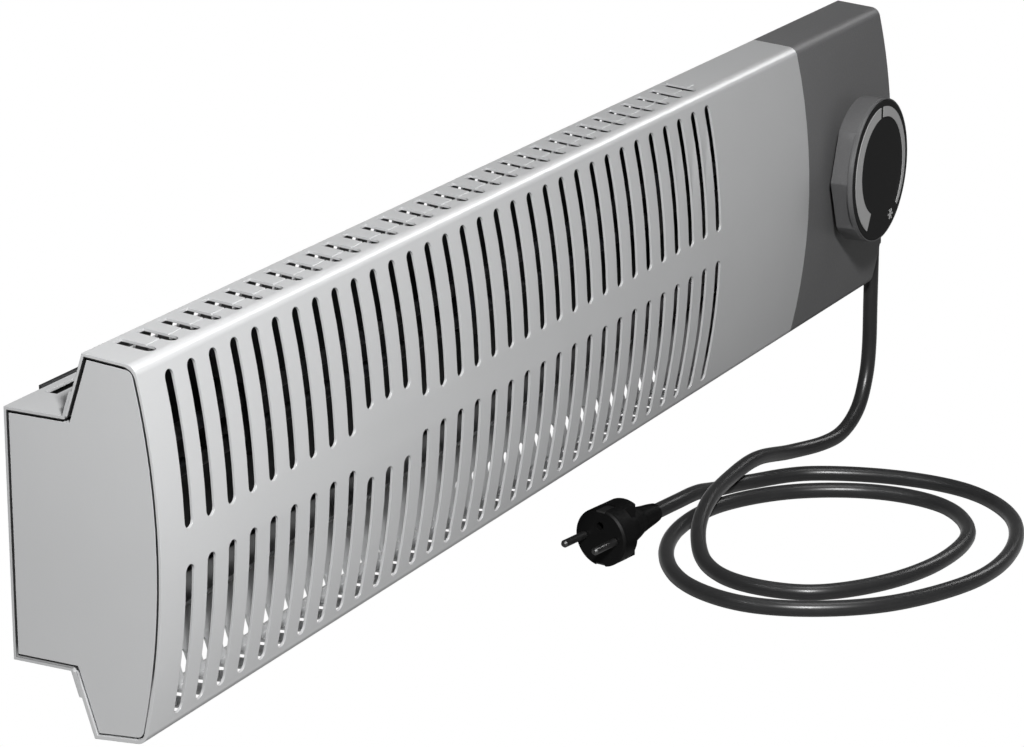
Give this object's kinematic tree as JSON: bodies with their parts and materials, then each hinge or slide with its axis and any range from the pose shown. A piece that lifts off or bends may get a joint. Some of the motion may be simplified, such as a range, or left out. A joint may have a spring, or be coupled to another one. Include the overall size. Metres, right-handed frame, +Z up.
{
  "type": "frost protection heater",
  "caption": "Slim wall-mounted frost protection heater: slotted metal housing, dark end cover with a rotary thermostat knob, mains lead and round two-pin plug.",
  "frame": {"origin": "middle of the four wall-screw holes, on the wall face of the two brackets", "axes": "+X along the length towards the control end, +Y into the wall (the room side faces -Y), +Z up"},
  "size_m": [0.7711, 0.2146, 0.2493],
  "materials": {
    "housing_metal": "satin silver powder coat",
    "casing_metal": "satin silver powder coat",
    "cap_metal": "satin silver-grey powder coat",
    "bracket_metal": "black powder coat",
    "cover_plastic": "fine-grained dark grey moulded plastic",
    "knob_plastic": "satin dark grey moulded plastic",
    "dial_black": "matt black disc",
    "dial_print": "pale grey print",
    "plated_steel": "bright zinc-plated steel",
    "aluminium_sheet": "mill-finish sheet",
    "element_steel": "heat-darkened steel sheath",
    "insulation": "pale insulating seal",
    "brass": "plain brass",
    "copper_tube": "copper tube and bulb",
    "inner_plastic": "off-white moulded plastic",
    "cutout_plastic": "black moulded plastic",
    "live_insulation": "brown wire insulation",
    "neutral_insulation": "blue wire insulation",
    "earth_insulation": "green and yellow wire insulation",
    "lead_rubber": "satin black cable sheath",
    "sleeve_rubber": "satin black rubber",
    "plug_rubber": "satin black moulded plug",
    "pin_metal": "nickel-plated brass"
  },
  "bodies": {
    "heater": {"wall_brackets": "bracket_metal", "back_casing": "casing_metal", "front_housing": "housing_metal", "left_end_cap": "cap_metal", "control_cover": "cover_plastic", "bulkhead": "plated_steel", "heat_shield": "aluminium_sheet", "heating_element": "element_steel", "element_seals": "insulation", "element_pins": "plated_steel", "element_collars": "plated_steel", "element_supports": "element_steel", "support_rivets": "element_steel", "thermostat_bracket": "plated_steel", "thermostat_body": "inner_plastic", "thermostat_neck": "brass", "thermostat_nut": "brass", "thermostat_tabs": "plated_steel", "sensor_bulb": "copper_tube", "safety_cutout": "cutout_plastic", "terminal_block": "inner_plastic", "earth_stud": "brass", "live_wires": "live_insulation", "neutral_wires": "neutral_insulation", "earth_wire": "earth_insulation", "cord_hood": "cover_plastic", "hood_screws": "plated_steel", "inner_cord": "lead_rubber", "cord_clamp": "inner_plastic", "clamp_screws": "plated_steel", "strain_relief": "sleeve_rubber", "case_screws": "plated_steel", "inner_screws": "plated_steel", "power_cord": "lead_rubber", "plug_body": "plug_rubber", "plug_pins": "pin_metal", "plug_earth_clips": "pin_metal"},
    "knob_set": {"spindle": "plated_steel", "knob": "knob_plastic", "dial_disc": "dial_black", "dial_marks": "dial_print"}
  },
  "joints": [
    {"name": "knob_turn", "type": "hinge", "parent": "heater", "child": "knob_set", "pos_m": [0.317, -0.076, 0.0025], "axis": [0, 1, 0], "range_deg": [-140, 140]}
  ]
}
